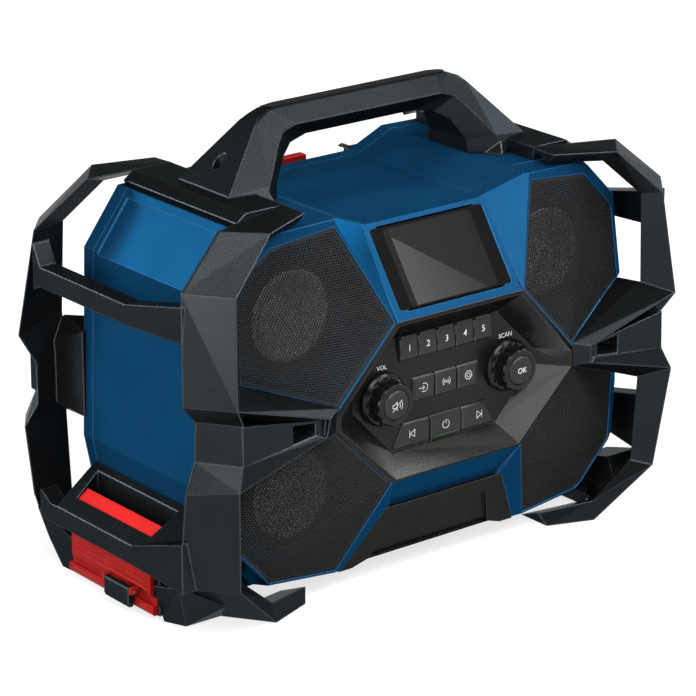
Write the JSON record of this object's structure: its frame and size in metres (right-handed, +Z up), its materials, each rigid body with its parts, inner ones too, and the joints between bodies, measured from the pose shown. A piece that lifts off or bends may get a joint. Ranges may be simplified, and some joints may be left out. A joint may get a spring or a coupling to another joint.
{
  "type": "jobsite radio",
  "caption": "Jobsite radio with a faceted blue housing, speakers, colour display, keys and knobs, in black guard frames with a carry handle.",
  "frame": {"origin": "on the floor, under the middle of the radio's width and depth", "axes": "+X to the right seen from the front, +Y from the front to the back, +Z up"},
  "size_m": [0.422, 0.2468, 0.3222],
  "materials": {
    "blue_housing": "fine moulded texture",
    "black_plastic": "fine moulded texture",
    "grip_rubber": "soft matt",
    "pad_rubber": "matt",
    "red_plastic": "satin",
    "grille_metal": "perforated, satin black",
    "driver_metal": "satin",
    "cone_paper": "pressed paper with a rubber roll",
    "magnet_steel": "plated",
    "screen_glass": "gloss",
    "screen_panel": "lit panel",
    "bezel_plastic": "gloss",
    "key_plastic": "satin",
    "screw_steel": "black oxide",
    "pin_steel": "ground",
    "board_green": "solder mask",
    "contact_brass": "plated",
    "rod_chrome": "polished"
  },
  "bodies": {
    "case": {"front_housing": "blue_housing", "rear_cover": "blue_housing", "left_frame": "black_plastic", "right_frame": "black_plastic", "handle_bar": "black_plastic", "handle_grip": "grip_rubber", "handle_screws": "screw_steel", "console_mask": "black_plastic", "front_skirt": "black_plastic", "foot_pads": "pad_rubber", "display_bezel": "bezel_plastic", "display_lens": "screen_glass", "display_module": "screen_panel", "grille_upper_left": "grille_metal", "grille_upper_right": "grille_metal", "grille_lower_left": "grille_metal", "grille_lower_right": "grille_metal", "speaker_magnets": "magnet_steel", "key_mat": "pad_rubber", "control_board": "board_green", "volume_encoder": "pin_steel", "scan_encoder": "pin_steel", "door_sill": "red_plastic", "pocket_ramp": "red_plastic", "door_hinge_pin": "pin_steel", "battery_bay": "black_plastic", "battery_contacts": "contact_brass", "battery_door_pin": "pin_steel", "antenna_base": "black_plastic", "housing_screws": "screw_steel", "amplifier_board": "board_green", "speaker_basket_upper_left": "driver_metal", "speaker_cone_upper_left": "cone_paper", "speaker_basket_upper_right": "driver_metal", "speaker_cone_upper_right": "cone_paper", "speaker_basket_lower_left": "driver_metal", "speaker_cone_lower_left": "cone_paper", "speaker_basket_lower_right": "driver_metal", "speaker_cone_lower_right": "cone_paper"},
    "volume_knob": {"volume_knob": "key_plastic"},
    "scan_knob": {"scan_knob": "key_plastic"},
    "mute_button": {"mute_button": "key_plastic"},
    "ok_button": {"ok_button": "key_plastic"},
    "side_door": {"side_door": "red_plastic", "latch_pin": "pin_steel"},
    "door_latch": {"door_latch": "black_plastic"},
    "battery_door": {"battery_door": "black_plastic"},
    "battery_door_latch": {"battery_door_latch": "red_plastic"},
    "rod_antenna": {"rod_antenna": "rod_chrome"},
    "preset_key_1": {"preset_key_1": "key_plastic"},
    "preset_key_2": {"preset_key_2": "key_plastic"},
    "preset_key_3": {"preset_key_3": "key_plastic"},
    "preset_key_4": {"preset_key_4": "key_plastic"},
    "preset_key_5": {"preset_key_5": "key_plastic"},
    "source_key": {"source_key": "key_plastic"},
    "pairing_key": {"pairing_key": "key_plastic"},
    "settings_key": {"settings_key": "key_plastic"},
    "previous_key": {"previous_key": "key_plastic"},
    "power_key": {"power_key": "key_plastic"},
    "next_key": {"next_key": "key_plastic"}
  },
  "joints": [
    {"name": "volume_turn", "type": "hinge", "parent": "case", "child": "volume_knob", "pos_m": [-0.0545, -0.108, 0.138], "axis": [0, -1, 0], "continuous": true},
    {"name": "scan_turn", "type": "hinge", "parent": "case", "child": "scan_knob", "pos_m": [0.0545, -0.108, 0.138], "axis": [0, -1, 0], "continuous": true},
    {"name": "mute_press", "type": "slide", "parent": "volume_knob", "child": "mute_button", "axis": [0, 1, 0], "range_m": [0, 0.001], "stiffness_N_per_m": 400, "springref_m": -0.0005},
    {"name": "ok_press", "type": "slide", "parent": "scan_knob", "child": "ok_button", "axis": [0, 1, 0], "range_m": [0, 0.001], "stiffness_N_per_m": 400, "springref_m": -0.0005},
    {"name": "side_door_hinge", "type": "hinge", "parent": "case", "child": "side_door", "pos_m": [-0.2028, 0.003, 0.0326], "axis": [0, 1, 0], "range_deg": [0, 70]},
    {"name": "door_latch_hinge", "type": "hinge", "parent": "side_door", "child": "door_latch", "pos_m": [-0.2084, -0.012, 0.0164], "axis": [0, 1, 0], "range_deg": [0, 60]},
    {"name": "battery_door_hinge", "type": "hinge", "parent": "case", "child": "battery_door", "pos_m": [0, 0.078, 0.06], "axis": [-1, 0, 0], "range_deg": [0, 80]},
    {"name": "battery_latch_slide", "type": "slide", "parent": "battery_door", "child": "battery_door_latch", "axis": [0, 0, 1], "range_m": [0, 0.004]},
    {"name": "antenna_swing", "type": "hinge", "parent": "case", "child": "rod_antenna", "pos_m": [0.062, 0.0853, 0.246], "axis": [0, 1, 0], "range_deg": [0, 180]},
    {"name": "preset_key_1_press", "type": "slide", "parent": "case", "child": "preset_key_1", "axis": [0, 1, 0], "range_m": [0, 0.0009], "stiffness_N_per_m": 500, "springref_m": -0.0005},
    {"name": "preset_key_2_press", "type": "slide", "parent": "case", "child": "preset_key_2", "axis": [0, 1, 0], "range_m": [0, 0.0009], "stiffness_N_per_m": 500, "springref_m": -0.0005},
    {"name": "preset_key_3_press", "type": "slide", "parent": "case", "child": "preset_key_3", "axis": [0, 1, 0], "range_m": [0, 0.0009], "stiffness_N_per_m": 500, "springref_m": -0.0005},
    {"name": "preset_key_4_press", "type": "slide", "parent": "case", "child": "preset_key_4", "axis": [0, 1, 0], "range_m": [0, 0.0009], "stiffness_N_per_m": 500, "springref_m": -0.0005},
    {"name": "preset_key_5_press", "type": "slide", "parent": "case", "child": "preset_key_5", "axis": [0, 1, 0], "range_m": [0, 0.0009], "stiffness_N_per_m": 500, "springref_m": -0.0005},
    {"name": "source_key_press", "type": "slide", "parent": "case", "child": "source_key", "axis": [0, 1, 0], "range_m": [0, 0.0009], "stiffness_N_per_m": 500, "springref_m": -0.0005},
    {"name": "pairing_key_press", "type": "slide", "parent": "case", "child": "pairing_key", "axis": [0, 1, 0], "range_m": [0, 0.0009], "stiffness_N_per_m": 500, "springref_m": -0.0005},
    {"name": "settings_key_press", "type": "slide", "parent": "case", "child": "settings_key", "axis": [0, 1, 0], "range_m": [0, 0.0009], "stiffness_N_per_m": 500, "springref_m": -0.0005},
    {"name": "previous_key_press", "type": "slide", "parent": "case", "child": "previous_key", "axis": [0, 1, 0], "range_m": [0, 0.0009], "stiffness_N_per_m": 500, "springref_m": -0.0005},
    {"name": "power_key_press", "type": "slide", "parent": "case", "child": "power_key", "axis": [0, 1, 0], "range_m": [0, 0.0009], "stiffness_N_per_m": 500, "springref_m": -0.0005},
    {"name": "next_key_press", "type": "slide", "parent": "case", "child": "next_key", "axis": [0, 1, 0], "range_m": [0, 0.0009], "stiffness_N_per_m": 500, "springref_m": -0.0005}
  ]
}
